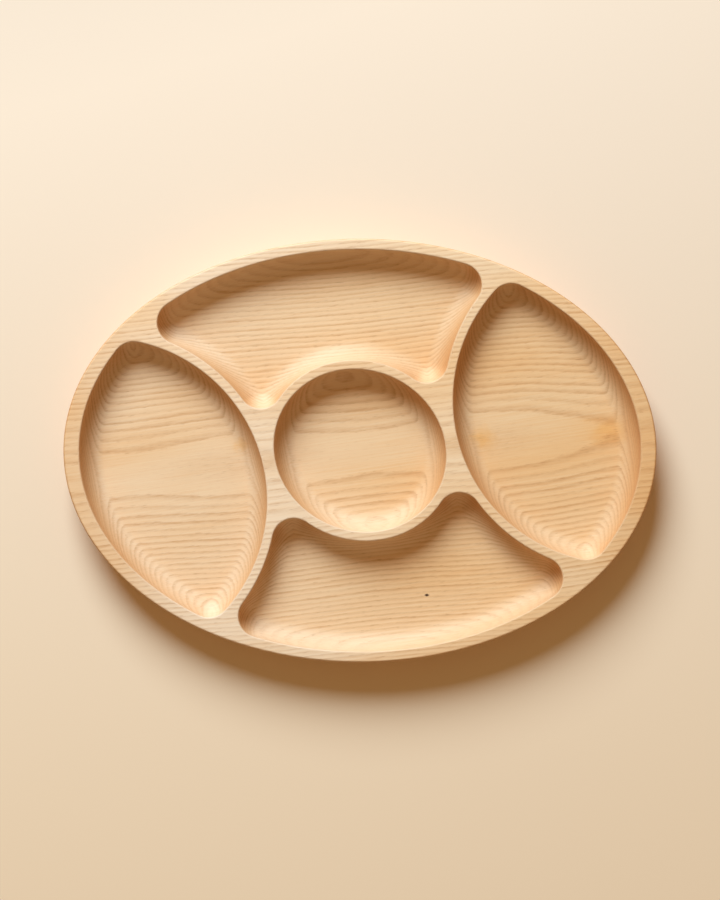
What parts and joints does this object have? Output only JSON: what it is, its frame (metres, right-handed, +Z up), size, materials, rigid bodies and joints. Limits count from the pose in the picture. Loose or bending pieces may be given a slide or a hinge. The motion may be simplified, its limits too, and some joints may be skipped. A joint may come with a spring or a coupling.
{
  "type": "divided serving platter",
  "caption": "Oval wooden serving platter with a round dip bowl in the middle and leaf-shaped and fan-shaped hollows around it, milled into an edge-glued panel.",
  "frame": {"origin": "centre of the oval on the flat base", "axes": "+X along the oval's long axis, +Y across it towards the back fan, +Z up out of the hollows"},
  "size_m": [0.35, 0.25, 0.024],
  "materials": {
    "ash_wood": "sanded and oiled, matte",
    "wood_glue": "dried wood glue, flush with the wood"
  },
  "bodies": {
    "root": {"front_edge_stave": "ash_wood", "front_stave": "ash_wood", "middle_stave": "ash_wood", "back_stave": "ash_wood", "back_edge_stave": "ash_wood", "front_edge_glue_line": "wood_glue", "front_glue_line": "wood_glue", "back_glue_line": "wood_glue", "back_edge_glue_line": "wood_glue"}
  },
  "joints": []
}
